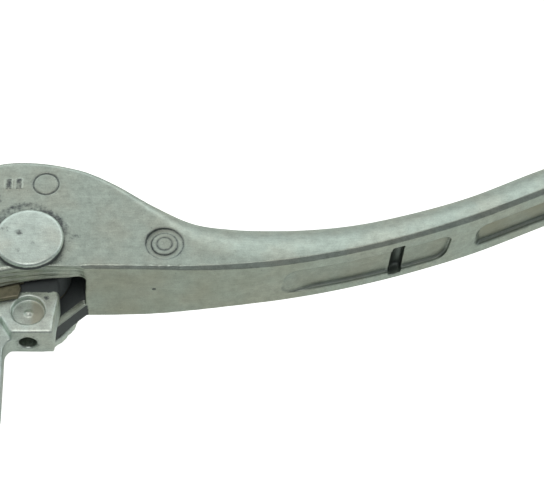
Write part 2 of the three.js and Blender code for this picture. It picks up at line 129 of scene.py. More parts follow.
def outline(points, x, y):
    """Distance to a closed outline in the plane, negative inside it."""
    nearest = np.full(np.broadcast(x, y).shape, 1e9)
    inside = np.zeros(nearest.shape, bool)
    for (ax, ay), (bx, by) in zip(points, points[1:] + points[:1]):
        ex, ey = bx - ax, by - ay
        if ex == 0 and ey == 0:
            continue
        t = np.clip(((x - ax) * ex + (y - ay) * ey) / (ex * ex + ey * ey), 0, 1)
        nearest = np.minimum(nearest, (x - ax - t * ex) ** 2 + (y - ay - t * ey) ** 2)
        if ey != 0:
            inside ^= ((ay > y) != (by > y)) & (x < ax + ex * (y - ay) / ey)
    return np.where(inside, -1, 1) * np.sqrt(nearest)


def rounded_box(u, v, low, high, corner):
    """Distance to a rectangle with round corners in the plane of u and v."""
    du = slab(u, low[0], high[0]) + corner
    dv = slab(v, low[1], high[1]) + corner
    return np.hypot(np.maximum(du, 0), np.maximum(dv, 0)) + np.minimum(np.maximum(du, dv), 0) - corner


def ripple(x, y, z, length):
    """An uneven, repeatable wave between about -1 and 1 with humps of one length."""
    k = 2 * math.pi / length
    wave = np.sin(k * (x + 0.31 * y + 0.17 * z)) * np.sin(k * (0.83 * y - 0.42 * x) + 1.3)
    return 0.6 * wave + 0.4 * np.sin(k * (0.71 * z + 0.53 * y - 0.29 * x) * 1.7 + 0.6)


# ---- grid and skin -------------------------------------------------
def ruled(*marks):
    """Lines from the first mark to the last: position, step, position, step, ... position."""
    lines = [np.array([marks[0]], float)]
    for start, step, end in zip(marks[0::2], marks[1::2], marks[2::2]):
        count = max(1, round((end - start) / step))
        lines.append(np.linspace(start, end, count + 1)[1:])
    return np.concatenate(lines)


UPRIGHT = np.eye(3)
ALONG_X = np.array([[0, 1, 0], [0, 0, 1], [1, 0, 0]], float)     # rows: where local x, y and z point
ALONG_REAR = np.array([[1, 0, 0], [0, 0, 1], [0, -1, 0]], float)


class Grid:
    """Lines along x, y and z. The y lines may follow a curve, and the whole grid may be turned and moved."""

    def __init__(self, xs, ys, zs, shift=None, turn=UPRIGHT, origin=(0, 0, 0)):
        self.xs, self.ys, self.zs = xs, ys, zs
        self.shift = np.zeros(len(xs)) if shift is None else shift(xs)
        self.turn, self.origin = turn, np.array(origin, float)
        self.x = xs[:, None, None]
        self.y = ys[None, :, None] + self.shift[:, None, None]
        self.z = zs[None, None, :]

    def place(self, cells):
        """Positions of grid points, in local millimetres."""
        i, j, k = cells.T
        return np.stack([self.xs[i], self.ys[j] + self.shift[i], self.zs[k]], 1)

    def near(self, centre, reach):
        """The part of the grid round a point, and its x, y and z, for a small feature."""
        rows = np.flatnonzero(np.abs(self.xs - centre[0]) < reach)
        low, high = self.shift[rows].min(), self.shift[rows].max()
        columns = np.flatnonzero((self.ys + high > centre[1] - reach) & (self.ys + low < centre[1] + reach))
        layers = np.flatnonzero(np.abs(self.zs - centre[2]) < reach)
        part = tuple(slice(found[0], found[-1] + 1) for found in (rows, columns, layers))
        return part, self.x[part[0]], self.y[part[0], part[1]], self.z[:, :, part[2]]


CORNERS = list(product((0, 1), repeat=3))
CELL_EDGES = [(a, b) for a, b in product(CORNERS, CORNERS)
              if sum(b) - sum(a) == 1 and all(map(int.__le__, a, b))]


def skin(name, grid, distance, marks):
    """A closed quad mesh on the surface where the distance is 0: one point in each cell that the surface crosses.
    Each mark is a function of local x, y and z, kept on the points for the material to read."""
    distance = np.broadcast_to(distance, (len(grid.xs), len(grid.ys), len(grid.zs)))
    inside = distance < 0
    size = [n - 1 for n in distance.shape]
    filled = sum(inside[tuple(slice(start, start + n) for start, n in zip(corner, size))].astype(np.uint8)
                 for corner in CORNERS)
    active = (filled > 0) & (filled < len(CORNERS))
    cells = np.argwhere(active)
    number = np.full(active.shape, -1)
    number[active] = np.arange(len(cells))
    total = np.zeros((len(cells), 3))
    hits = np.zeros((len(cells), 1))
    for start, end in CELL_EDGES:
        a, b = cells + start, cells + end
        da, db = distance[tuple(a.T)], distance[tuple(b.T)]
        crossed = (da < 0) != (db < 0)
        t = (da[crossed] / (da[crossed] - db[crossed]))[:, None]
        total[crossed] += grid.place(a[crossed]) * (1 - t) + grid.place(b[crossed]) * t
        hits[crossed] += 1
    local = total / hits
    points = local @ grid.turn + grid.origin
    quads = []
    for axis in range(3):
        u, v = np.eye(3, dtype=int)[[(axis + 1) % 3, (axis + 2) % 3]]
        first = inside.take(range(distance.shape[axis] - 1), axis)
        second = inside.take(range(1, distance.shape[axis]), axis)
        at = np.argwhere(first != second)
        quad = np.stack([number[tuple((at - step).T)] for step in (0 * u, u, u + v, v)], 1)
        facing_back = ~first[tuple(at.T)]
        quad[facing_back] = quad[facing_back][:, ::-1]
        quads.append(quad)
    mesh = bpy.data.meshes.new(name)
    mesh.from_pydata(points * MM + np.array(PIVOT), [], np.concatenate(quads))
    mesh.shade_smooth()
    for mark, amount in marks.items():
        attribute = mesh.attributes.new(mark, "FLOAT", "POINT")
        attribute.data.foreach_set("value", np.clip(amount(*local.T), 0, 1).astype(np.float32))
    piece = bpy.data.objects.new(name, mesh)
    bpy.context.scene.collection.objects.link(piece)
    return piece


def finish_piece(node, grid, distance, slot, material, **marks):
    """Skins the distances as the finished form of a CAD node, riding on that node's body."""
    piece = skin(f"{node}_finished", grid, distance, marks)
    piece.data.materials.append(material)
    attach(piece, BODY_OF[node])
    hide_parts(node)


def grid_round(node, step, turn=UPRIGHT, origin=(0, 0, 0), margin=0.6):
    """A grid over a CAD node's box with some room round it, in the turned axes."""
    low, high = (np.array((corner - PIVOT) / MM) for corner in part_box(node))
    ends = np.stack([(corner - origin) @ turn.T for corner in (low, high)])
    low, high = ends.min(0) - margin, ends.max(0) + margin
    return Grid(*(ruled(a, step, b) for a, b in zip(low, high)), turn=turn, origin=origin)


def dent(grid, distance, centre, radius, blend=0.15):
    """Presses a small ball into the surface."""
    part, x, y, z = grid.near(centre, radius + 1)
    ball = np.sqrt((x - centre[0]) ** 2 + (y - centre[1]) ** 2 + (z - centre[2]) ** 2) - radius
    distance[part] = soft_max(distance[part], -ball, blend)


# ---- lever ---------------------------------------------------------
# Blade: x, rear edge y, front edge y, half height, rear bevel, depth and height of the round nose.
BLADE = [
    (12, -6.4, 18.7, 9.2, 0.7, 1.4, 1.4), (18, -6.4, 15.4, 9.15, 0.7, 1.8, 1.6),
    (26, -6.3, 10.9, 8.8, 0.7, 3.5, 2.8), (34, -5.95, 8.1, 8.1, 0.8, 7.2, 4.7),
    (42, -5.25, 7.8, 7.5, 0.9, 10.2, 6.0), (52, -4.05, 8.1, 7.15, 1.0, 12.0, 6.6),
    (64, -1.7, 9.0, 7.05, 1.0, 11.9, 6.7), (78, 2.15, 11.9, 7.0, 1.0, 10.9, 6.6),
    (92, 7.1, 16.5, 7.0, 1.1, 10.0, 6.6), (108, 14.3, 23.9, 6.9, 1.1, 9.9, 6.5),
    (120, 20.0, 29.1, 6.6, 1.1, 9.0, 6.2), (132, 24.8, 33.0, 6.2, 1.2, 6.9, 5.8),
    (144, 28.0, 35.4, 5.8, 1.3, 6.0, 5.4), (156, 29.4, 36.1, 5.5, 1.4, 5.2, 5.2),
]
BALL = {"centre": (163, 32.9, 0), "radius": 7.8, "length": 1.05, "height": 0.98, "fillet": 2.2}
HEAD = {"left": -15, "half": 9.2, "lobe": 13.4, "lower_bevel": 0.5}
FORK_SLOT = {"bottom": -4.4, "top": 4.9, "wall": 11.4, "lean": 0.087}
SEAT = {"x": -6, "y": 14.4, "radius": 4.6, "play": 0.3, "top": 4, "hole_top": 5.9, "slit": 1.3, "slit_top": 3}
PIN_HOLE = 4.3
FORK_MIDDLE = 0.2        # the height where the outline of the lower plate gives way to the upper one's
NOSE = {"full": 16, "front": 4}          # left of full, only what lies before front has the round nose
BARRED = 20              # taken off a cut's distance where the cut doesn't reach
# The rear lip of the fork's upper plate, at its upper and lower edge.
LIP_TOP = [(-16, -8.9), (-9, -7.7), (-5.7, -6.9), (-2, -6.4), (2.5, -5.95), (7, -5.95), (11.5, -6.35),
           (15, -7.6)]
LIP_BOTTOM = [(-16, -12.6), (-6, -8.6), (-2, -7.6), (2, -6.9), (8, -6.15), (11, -5.95), (12, -6.5),
              (15, -7.9)]
POCKETS = [
    {"x": (53, 88.6), "z": (-4.4, 3.2), "depth": 1.0, "run_out": 8, "corner": 2.3},
    {"x": (94.2, 137), "z": (-4.0, 2.8), "depth": 1.15, "run_out": 1, "corner": 2.2},
]
POCKET_LEAN = 0.22       # how far the pockets' ends lean towards the tip, over their height
NOTCH = {"x": 77.3, "half": 1.35, "z": (-5.4, 4.3), "depth": 2.9, "lean": 0.1}
EJECTOR_MARKS = [        # cast rings on the upper side
    {"centre": (2.9, 15.1), "groove": 2.7},
    {"centre": (28.3, 0.1), "groove": 1.6, "trench": (2.75, 3.95)},
]
RING = {"groove": 0.22, "trench": 0.5, "dish": 0.18}     # the groove's radius, and how deep the rest goes
TALLY = [((-5.4, 13.9), (-4.6, 16.1)), ((-3.2, 13.9), (-2.4, 16.1))]     # two short cast bars
TALLY_HEIGHT = 0.32
KNOCKS = {"seed": 7, "count": 70, "x": (10, 150), "size": (0.2, 0.45), "from_edge": (-0.3, 0.9)}


def blade(column, x):
    return through([(row[0], row[column]) for row in BLADE], x)


def lever_outline(rear_left):
    """The lever in plan, with the given points as the rear left side of its head."""
    tip = BLADE[-1][0] + 4
    rear = [(x, float(blade(1, x))) for x in np.arange(BLADE[0][0], tip, 2)]
    front = [(x, float(blade(2, x))) for x in np.arange(tip, 13, -2)]
    head = curve(front[-1], (9.9, 19.35), (3, 20.95), (-3.8, 21.3), (-8.6, 20.3), (-12.4, 17.4),
                 (HEAD["left"], 12.6))
    return rear + front + head[1:] + [(HEAD["left"], 0)] + rear_left


def pocket_sides(x, z, shape):
    return rounded_box(x - POCKET_LEAN * z, z, *zip(shape["x"], shape["z"]), shape["corner"])


def pocket_cut(x, v, z, shape):
    """A lightening pocket in the rear face that starts shallow at its left end."""
    start = shape["x"][0]
    floor = shape["depth"] * (0.25 + 0.75 * ramp(x, start, start + shape["run_out"]))
    return overlap(0.6, pocket_sides(x, z, shape), v - floor)


def tally_bar(x, y, bar):
    return rounded_box(x, y, *bar, 0.15)


def ring_lines(x, y, z, width, groove, trench):
    """A darker line in the groove of each cast ring, and at both edges of its trench."""
    total = np.zeros(x.shape)
    for mark in EJECTOR_MARKS:
        reach = np.hypot(x - mark["centre"][0], y - mark["centre"][1])
        for line, amount in [(mark["groove"], groove)] + [(edge, trench) for edge in mark.get("trench", ())]:
            total = np.maximum(total, amount * np.exp(-((reach - line) / width) ** 2) * (z > 5))
    return total


def lever_grime(x, y, z):
    """Painted shade inside the fork and on the head's rear side under the upper plate, a painted contact shadow
    with dirt round the pin's head, dirt smudges, and darker patches at the cast bars, the cast rings and a pit.
    """
    # Painted shade inside the fork's slot and on the head's rear side under the upper plate.
    inside = ramp(-x, -11.4, -11.1) * ramp(-z, -4.85, -4.65) * ramp(z, -4.5, -4.42) * ramp(-y, -11.2, -10.8)
    skirt = ramp(-x, -12.3, -11.3) * ramp(-z, 4.85, 5.1) * ramp(z, -9.1, -8.9) * ramp(-y, 5.8, 6.5)
    r = np.hypot(x, y)
    turn = np.arctan2(y, x)
    # Painted contact shadow round the pin's head, heavier at some angles, with an arc of dirt specks beyond it.
    worst = 0.36 + 0.36 * np.exp(-((turn - 0.9) / 0.6) ** 2) + 0.25 * np.exp(-((turn - 2.5) / 0.6) ** 2)
    above = ramp(z, 8.6, 9)
    crescent = 0.5 * np.exp(-((r - 9.9) / 0.9) ** 2) * np.exp(-((turn - 1.9) / 0.7) ** 2)
    halo = worst * ramp(-r, -10.6, -7.8) + crescent
    smudge = 0.52 * ramp(-np.hypot(x + 9.5, y - 11), -7, -1)
    smear = 0.48 * ramp(-np.hypot((x - 9.6) * 0.6, y - 1.4), -1.8, -0.2)
    bars = np.minimum.reduce([tally_bar(x, y, bar) for bar in TALLY])
    tally = 0.6 * ramp(-bars, -0.6, 0.1) * above
    pit = ramp(-np.sqrt((x - 26) ** 2 + (y + 6.4) ** 2 + (z - 0.9) ** 2), -0.7, -0.35) * 0.7
    total = np.maximum.reduce([inside, skirt, halo * above, smudge * above, smear * above, tally, pit])
    for mark in EJECTOR_MARKS:
        reach = np.hypot(x - mark["centre"][0], y - mark["centre"][1])
        total = np.maximum(total, 0.28 * (reach < mark["groove"] + 0.8) * (z > 5))
    return np.maximum(total, ring_lines(x, y, z, 0.32, 0.56, 0.58))


def lever_soot(x, y, z):
    """Painted shade in the notch and along the pockets' walls, a faint darker film on the pockets' floors, and
    darker lines in the cast rings.
    """
    v = y - blade(1, x)
    rear = ramp(v, 0.05, 0.3) * (v < 3)
    rims = []
    for shape in POCKETS:
        sides = pocket_sides(x, z, shape)
        # Painted shade along the pockets' walls, heavier on the lower walls.
        wall = ramp(-np.abs(sides + 0.3), -0.9, -0.1) * (0.35 + 0.3 * (z < -2))
        rims.append(np.maximum(wall, 0.14 * (sides < 0)))
    # Painted shade deep inside the notch.
    across = ramp(-np.abs(x - NOTCH["x"] - NOTCH["lean"] * z), -1.7, -1.2) * (np.abs(z) < 5.6)
    slit = across * ramp(v, 0.5, 1.6) * (v < 4)
    total = np.maximum(rear * np.maximum.reduce(rims), 0.85 * slit)
    return np.maximum(total, ring_lines(x, y, z, 0.3, 0.55, 0.55))


def lever_tan(x, y, z):
    """A faint brown film on the pockets' floors and in patches along the rear face."""
    v = y - blade(1, x)
    floors = sum(amount * ramp(-pocket_sides(x, z, shape), 0.3, 1.2) * ramp(v, 0.2, 0.8)
                 for amount, shape in zip((0.3, 0.75), POCKETS))
    face = 0.35 * ramp(-v, -0.3, 0) * ramp(-x, -75, -45)
    return np.maximum(floors * (v < 2), face) * (0.75 + 0.5 * ripple(x, y, z, 13))


def make_lever(material):
    xs = ruled(-16, 0.3, -0.3, 0.16, 6.1, 0.3, 23.8, 0.2, 32.8, 0.35, 52, 0.5, 75, 0.3, 80, 0.5, 87, 0.3, 96,
               0.6, 150, 0.4, 172.5)
    ys = ruled(-9, 0.35, -2.4, 0.25, -0.4, 0.12, 1.4, 0.2, 10.9, 0.3, 18, 0.16, 24.6, 0.3, 29)
    zs = ruled(-9.9, 0.3, -5.2, 0.15, -4.2, 0.3, 4.4, 0.15, 9.6)
    grid = Grid(xs, ys, zs, shift=lambda x: blade(1, x))
    x, y, z = grid.x, grid.y, grid.z
    upper = outline(lever_outline([(HEAD["left"], -13), (5, -9), (11.5, -6.4)]), x, y)
    lower_left = arc((0, 0), 15, 180, 200) + arc((0, 0), HEAD["lobe"], 205, 293) + [(11.4, -6.4)]
    lower = outline(lever_outline(lower_left), x, y)
    plan = np.where(z > FORK_MIDDLE, upper, lower)
    half, bevel, depth, height = (blade(column, x) for column in (3, 4, 5, 6))
    bevel = np.where(z > 0, bevel * ramp(x, 6.5, 10.5), HEAD["lower_bevel"])
    tall = np.abs(z) - half
    side = soft_max(np.maximum(plan, tall), (plan + tall + bevel) / math.sqrt(2), 0.05)
    front = blade(2, x)
    lean = np.cos(np.arctan(np.gradient(front.ravel(), xs)))[:, None, None]
    inward = np.where(x < NOSE["full"], -plan, (front - y) * lean)
    nose = np.hypot(np.maximum(depth - inward, 0) / depth, np.maximum(tall + height, 0) / height) - 1
    nose = np.maximum(nose * np.minimum(depth, height), np.maximum(plan, tall))
    body = np.where(x < NOSE["full"], np.where(y > NOSE["front"], nose, side), np.maximum(nose, side))
    lip_slope = np.maximum(z - FORK_SLOT["top"], 0) / (HEAD["half"] - FORK_SLOT["top"])
    lip = through(LIP_BOTTOM, x) + (through(LIP_TOP, x) - through(LIP_BOTTOM, x)) * lip_slope
    ridges = 0.045 * np.sin(z * 5.2 + 0.35 * x) + 0.03 * np.sin(z * 9.1 - 0.2 * x)
    lip_cut = (lip - y + ridges) * 0.93 - BARRED * (z < FORK_MIDDLE)
    body = soft_max(body, lip_cut, 0.15 + 0.7 * ramp(-x, -2, 6))
    lobe_edge = (z - FORK_SLOT["bottom"] + (plan + 1.2) / 3) * 0.95
    body = soft_max(body, lobe_edge - BARRED * ((x > 11.2) | (y > 0) | (z > 0)), 0.15)
    left = HEAD["left"] - 3
    slot_plan = outline([(left, 5.8), (left, -20), (14, -20), (14, 1)]
                        + curve((12.4, 2), (9, 8.6), (3, 10.6), (-5, 9.2)), x, y)
    wall = x - FORK_SLOT["wall"] - FORK_SLOT["lean"] * z
    fork_slot = overlap(0.8, slot_plan, wall, slab(z, FORK_SLOT["bottom"], FORK_SLOT["top"]))
    slit = overlap(0.2, x - SEAT["x"], slab(y, SEAT["y"] - SEAT["slit"], SEAT["y"] + SEAT["slit"]),
                   z - SEAT["slit_top"])
    from_seat = np.hypot(x - SEAT["x"], y - SEAT["y"])
    seat_hole = overlap(0.2, from_seat - SEAT["radius"] - SEAT["play"], z - SEAT["hole_top"])
    pin_hole = np.hypot(x, y) - PIN_HOLE
    body = overlap(0.3, body, -fork_slot, -slit, -seat_hole, -pin_hole)
    v = y - blade(1, x)
    for shape in POCKETS:
        body = soft_max(body, -pocket_cut(x, v, z, shape), 0.2)
    throat = NOTCH["depth"] - NOTCH["half"]
    across = np.hypot(x - NOTCH["x"] - NOTCH["lean"] * z, np.maximum(v - throat, 0)) - NOTCH["half"]
    body = soft_max(body, -overlap(0.6, across, slab(z, *NOTCH["z"])), 0.25)
    bx, by, bz = BALL["centre"]
    ball = np.sqrt(((x - bx) / BALL["length"]) ** 2 + (y - by) ** 2 + ((z - bz) / BALL["height"]) ** 2)
    body = soft_min(body, ball - BALL["radius"], BALL["fillet"])
    body = body + 0.03 * ripple(x, y, z, 23)
    for mark in EJECTOR_MARKS:
        cx, cy = mark["centre"]
        top = float(blade(3, cx))
        part, px, py, pz = grid.near((cx, cy, top), 5)
        r = np.hypot(px - cx, py - cy)
        groove = np.hypot(r - mark["groove"], pz - top) - RING["groove"]
        if "trench" in mark:
            low, high = mark["trench"]
            trench = overlap(0.08, slab(r, low, high), top - RING["trench"] - pz)
            dish = np.maximum(r - high, top - RING["dish"] - pz)
            groove = np.minimum.reduce([groove, trench, dish])
        body[part] = soft_max(body[part], -groove, 0.1)
    part, px, py, pz = grid.near((-4, 15, 9.2), 2.8)
    for bar in TALLY:
        raised = np.hypot(np.maximum(tally_bar(px, py, bar), 0), pz - HEAD["half"]) - TALLY_HEIGHT
        body[part] = soft_min(body[part], raised, 0.15)
    chance = np.random.default_rng(KNOCKS["seed"])
    for _ in range(KNOCKS["count"]):         # along the rear upper edge
        at = chance.uniform(*KNOCKS["x"])
        size = chance.uniform(*KNOCKS["size"])
        edge = float(blade(1, at)) + chance.uniform(*KNOCKS["from_edge"])
        dent(grid, body, (at, edge, float(blade(3, at)) + size * 0.75), size)
    dent(grid, body, (26, -6.55, 0.9), 0.5)
    finish_piece("lever", grid, body, "lever_casting", material, grime=lever_grime, soot=lever_soot, tan=lever_tan)


# ---- perch ---------------------------------------------------------
CLAMP = {"bore": 11.25, "outer": 16.5, "half_width": 11, "split": 0.75, "lug": 26, "bolt": 19.4,
         "perch_depth": 11.5, "cap_depth": 8.5}
BOLT = {"radius": 3, "hole": 3.3, "flats": 10, "head": 5, "flange": 6, "washer": 1.2, "spring": 1.5, "end": 9.5}
CABLE = {"y": 14.4, "hole": 4.3, "slit": 1.3, "slit_right": -14.6, "boss": 8, "boss_x": (-31, -16.2)}
BUSH = {"half": 3.9, "outer": 5.4, "hole": 5.7, "hole_half": 4.5}
SHIM = {"inner": 6.9, "outer": 8.1, "upper": (3.6, 4.75), "lower": (-4.3, -3.6)}
SEAL = {"radius": 6.2, "cord": 0.3, "height": 3.9}
TONGUE = {"half": 3.5, "rear": -18.8, "foot": -4.2, "recess_y": -13.3, "recess": 3.5, "recess_depth": 1.3,
          "hole_z": -0.5, "hole": 1.9}
FLANGE = {"bottom": -11.6, "top": -9.5, "centre": (-3, -2.5), "radius": 13, "rear": -13.9}
BLOCK = {"left": -28, "right": -15.6, "rear": -20, "front": 26, "bottom": -12.2, "top": 4.6, "rear_corner": 1,
         "front_corner": 4}
WEB = {"right": -4.95, "bottom": -3.5, "top": 1.2, "rear": -40, "corner": 3.5}


def plate(grid, points, low, high, edge):
    return soft_max(outline(points, grid.x, grid.y), slab(grid.z, low, high), edge)


def clamp_half(grid, side, lug_depth):
    """Half of the bar clamp on one side of the split: a half ring with a lug above and below."""
    u, w = grid.y - BAR[1], grid.z
    ring = np.hypot(u, w) - CLAMP["outer"]
    lugs = rounded_box(u * side, w, (-2, -CLAMP["lug"]), (lug_depth, CLAMP["lug"]), 1.2)
    shape = soft_max(soft_min(ring, lugs, 2.5), CLAMP["split"] - u * side, 0.3)
    width = slab(grid.x, BAR[0] - CLAMP["half_width"], BAR[0] + CLAMP["half_width"])
    return soft_max(shape, width, 1.1)


def bar_bore(grid):
    return np.hypot(grid.y - BAR[1], grid.z) - CLAMP["bore"]


def bolt_holes(grid):
    holes = [np.hypot(grid.x - BAR[0], grid.z - z) - BOLT["hole"] for z in (-CLAMP["bolt"], CLAMP["bolt"])]
    return np.minimum(*holes)


def perch_shape(grid):
    x, y, z = grid.x, grid.y, grid.z
    half = TONGUE["half"]
    tongue = plate(grid, [(5.3, TONGUE["rear"]), (5.6, -14.5), (6.3, -10)] + arc((0, 0), 8.4, -44, 118)
                   + [(-17, 4.6), (-22, 4.6), (-22, -15), (-5.7, -15), (-3.5, TONGUE["rear"])], -half, half, 0.9)
    foot = plate(grid, [(5.3, TONGUE["rear"]), (5.5, -14.2), (-5.7, -14.2), (-5.7, -15), (-3.5, TONGUE["rear"])],
                 TONGUE["foot"], 0, 0.7)
    corner = (WEB["right"] - WEB["corner"], WEB["rear"] + WEB["corner"])
    web = plate(grid, [(3, -14), (3, TONGUE["rear"])] + arc((WEB["right"] + 3, TONGUE["rear"] - 3), 3, 90, 180)
                + arc(corner, WEB["corner"], 0, -90)
                + [(BAR[0] - 6, WEB["rear"]), (-34, -30), (BLOCK["left"], BLOCK["rear"]), (-27, -14)],
                WEB["bottom"], WEB["top"], 0.6)
    rough = 0.16 * ripple(x, y, z, 1.9) + 0.1 * ripple(y, x, z, 3.3)
    flange = outline(arc(FLANGE["centre"], FLANGE["radius"], -61, 60)
                     + [(-17.6, 6), (-22, 6), (-22, -17), (-11, -17), (-8, FLANGE["rear"])], x, y)
    flange = soft_max(flange + rough * ramp(flange, -2.5, -0.5), slab(z, FLANGE["bottom"], FLANGE["top"]), 0.45)
    block = rounded_box(x, y, (BLOCK["left"], BLOCK["rear"]), (BLOCK["right"], BLOCK["front"]),
                        np.where(y < 0, BLOCK["rear_corner"], BLOCK["front_corner"]))
    block = soft_max(block, slab(z, BLOCK["bottom"], BLOCK["top"]), 1.4)
    rib = plate(grid, [(-12, BLOCK["rear"]), (-14, WEB["rear"] + 1), (BAR[0] + 6, WEB["rear"] - 2),
                       (BAR[0] - 4, WEB["rear"] - 2), (-27, BLOCK["rear"] + 2), (-16, BLOCK["rear"] + 4)],
                -10.5, 3.2, 1.6)
    cable = np.hypot(y - CABLE["y"], z)
    boss = soft_max(cable - CABLE["boss"], slab(x, *CABLE["boss_x"]), 0.9)
    body = soft_min(soft_min(block, boss, 1.6), soft_min(rib, clamp_half(grid, 1, CLAMP["perch_depth"]), 2.4), 2)
    body = soft_min(body, soft_min(np.minimum(tongue, foot), web, 0.7), 0.5)
    body = soft_min(body, flange, 0.5)
    depth = TONGUE["recess_depth"]
    slot = overlap(0.2, slab(y, CABLE["y"] - CABLE["slit"], CABLE["y"] + CABLE["slit"]), z, x - CABLE["slit_right"])
    pin_hole = overlap(0.2, np.hypot(x, y) - PIN_HOLE, z)
    bush_hole = overlap(0.2, np.hypot(x, y) - BUSH["hole"], slab(z, -BUSH["hole_half"], BUSH["hole_half"]))
    recess = overlap(0.3, np.hypot(x, y - TONGUE["recess_y"]) - TONGUE["recess"], half - depth - z, z - 6)
    front_hole = overlap(0.2, np.hypot(x, z - TONGUE["hole_z"]) - TONGUE["hole"], slab(y, -20, -10.3))
    for cut in (bar_bore(grid), cable - CABLE["hole"], slot, pin_hole, bush_hole, recess, front_hole):
        body = soft_max(body, -cut, 0.25)
    threads = np.maximum(bolt_holes(grid), BAR[1] - y)
    body = soft_max(body, -threads, 0.25)
    dot = np.sqrt(x ** 2 + (y - TONGUE["recess_y"]) ** 2 + ((z - half + depth) * 1.4) ** 2) - 0.8
    return soft_min(body, dot, 0.3) + 0.04 * ripple(x, y, z, 17) * ramp(np.hypot(y - BAR[1], z), 12, 14)


def perch_grime(x, y, z):
    """Painted shade where the fork covers the tongue and the flange, dirt specks by the recess, and painted shade
    round the hole in the tongue's end face.
    """
    # Painted shade on the tongue where the fork's upper plate overhangs it.
    tongue = ramp(y + 0.12 * ripple(x, y, z, 2.7), -9.3, -8.4)
    tongue = tongue * ramp(-np.abs(z), -4.1, -3.8) * ramp(x, -15.8, -15.2)
    # Painted shade on the flange's top where the fork's lower plate covers it.
    reach = np.hypot(x - FLANGE["centre"][0], y - FLANGE["centre"][1]) + 0.3 * ripple(x, y, z, 2.1)
    flange = ramp(-reach, -11.6, -10.9) * ramp(-np.abs(z - FLANGE["top"]), -0.5, -0.3)
    specks = 0.6 * ramp(-np.hypot(x - 3.7, y + 10.2), -1.1, -0.3) * (z > 3)
    # Painted shade on the tongue's end face round its hole.
    front = 0.4 * ramp(-y, -TONGUE["rear"] - 1, -TONGUE["rear"]) * ramp(-np.hypot(x, z + 0.5), -4.5, -1.8)
    return np.maximum.reduce([tongue, flange, specks, front])


def perch_soot(x, y, z):
    """Painted shade: a thin even darkening of the tongue's end face."""
    return 0.22 * (y < TONGUE["rear"] + 0.6) * (np.abs(x) < 7) * (z < 3.3)


def perch_tan(x, y, z):
    """A brown film on the right side of the recess."""
    from_recess = np.hypot(x, y - TONGUE["recess_y"])
    return 0.8 * (from_recess < 3.3) * ramp(x, 0.1, 1.4) * (z > 0)


def make_perch(material):
    xs = ruled(-42, 0.5, -12, 0.28, 11.5)
    ys = ruled(-70, 0.5, -41, 0.4, -21, 0.28, -2, 0.4, 27)
    zs = ruled(-27, 0.6, -13, 0.28, 5.6, 0.6, 27)
    grid = Grid(xs, ys, zs)
    finish_piece("perch_body", grid, perch_shape(grid), "perch_casting", material, grime=perch_grime,
                 soot=perch_soot, tan=perch_tan)


def make_cap(material):
    grid = grid_round("clamp_cap", 0.45, margin=1)
    body = clamp_half(grid, -1, CLAMP["cap_depth"])
    seats = [overlap(0.2, np.hypot(grid.x - BAR[0], grid.z - z) - BOLT["flange"] - 0.7,
                     grid.y - BAR[1] + CLAMP["cap_depth"]) for z in (-CLAMP["bolt"], CLAMP["bolt"])]
    body = overlap(0.25, body, -bar_bore(grid), -bolt_holes(grid), -seats[0], -seats[1])
    body = body + 0.03 * ripple(grid.x, grid.y, grid.z, 15) * ramp(np.hypot(grid.y - BAR[1], grid.z), 12, 14)
    finish_piece("clamp_cap", grid, body, "perch_casting", material)


# ---- hardware ------------------------------------------------------
def hexagon(x, y, flats):
    angles = [math.radians(a) for a in (0, 60, 120)]
    return np.maximum.reduce([np.abs(x * math.cos(a) + y * math.sin(a)) for a in angles]) - flats / 2


def thread(x, y, z, radius, pitch=1.0, depth=0.32):
    """A screw thread about z: a rod whose radius rises and falls along a helix."""
    turn = (z / pitch - np.arctan2(y, x) / (2 * math.pi)) % 1
    return np.hypot(x, y) - radius + depth * 2 * np.abs(turn - 0.5)


def make_ring(node, inner, low, high, outer, material, slot, step=0.16, edge=0.2, **placing):
    grid = grid_round(node, step, **placing)
    radius = np.hypot(grid.x, grid.y)
    body = overlap(edge, slab(radius, inner, outer), slab(grid.z, low, high))
    body = body + 0.012 * ripple(grid.x, grid.y, grid.z, 4)
    finish_piece(node, grid, body, slot, material)


PIN = {"radius": 4, "head": 7.3, "seat": 9.35, "top": 11.25, "thread": 3}
PIN_SMUDGES = [          # x, y, size and amount
    (-2.1, 1.1, 2.1, 0.6), (-2.2, -3.4, 1.4, 0.5), (0.9, -1.6, 1.5, 0.45), (-5, 2, 3, 0.45),
]
PIN_DENTS = {"seed": 3, "count": 9, "reach": 5.6, "size": (0.25, 0.5)}
NUT = {"washer": 1.2, "washer_radius": 6.5, "thickness": 5, "flats": 10}
WASHER_TOP = FLANGE["bottom"] - 0.1
NUT_TOP = WASHER_TOP - NUT["washer"] - 0.1


def pin_grime(x, y, z):
    """Painted shade low on the head's side, and faint dirt smudges on its face."""
    r = np.hypot(x, y)
    # Painted shade on the lower part of the head's side wall.
    total = 0.9 * ramp(-z, -PIN["top"] + 0.5, -PIN["seat"] - 0.7) * (r > PIN["radius"] + 1)
    for sx, sy, size, amount in PIN_SMUDGES:
        smudge = amount * ramp(-np.hypot(x - sx, y - sy), -size, -0.1)
        total = np.maximum(total, smudge * (z > PIN["top"] - 0.5))
    return total


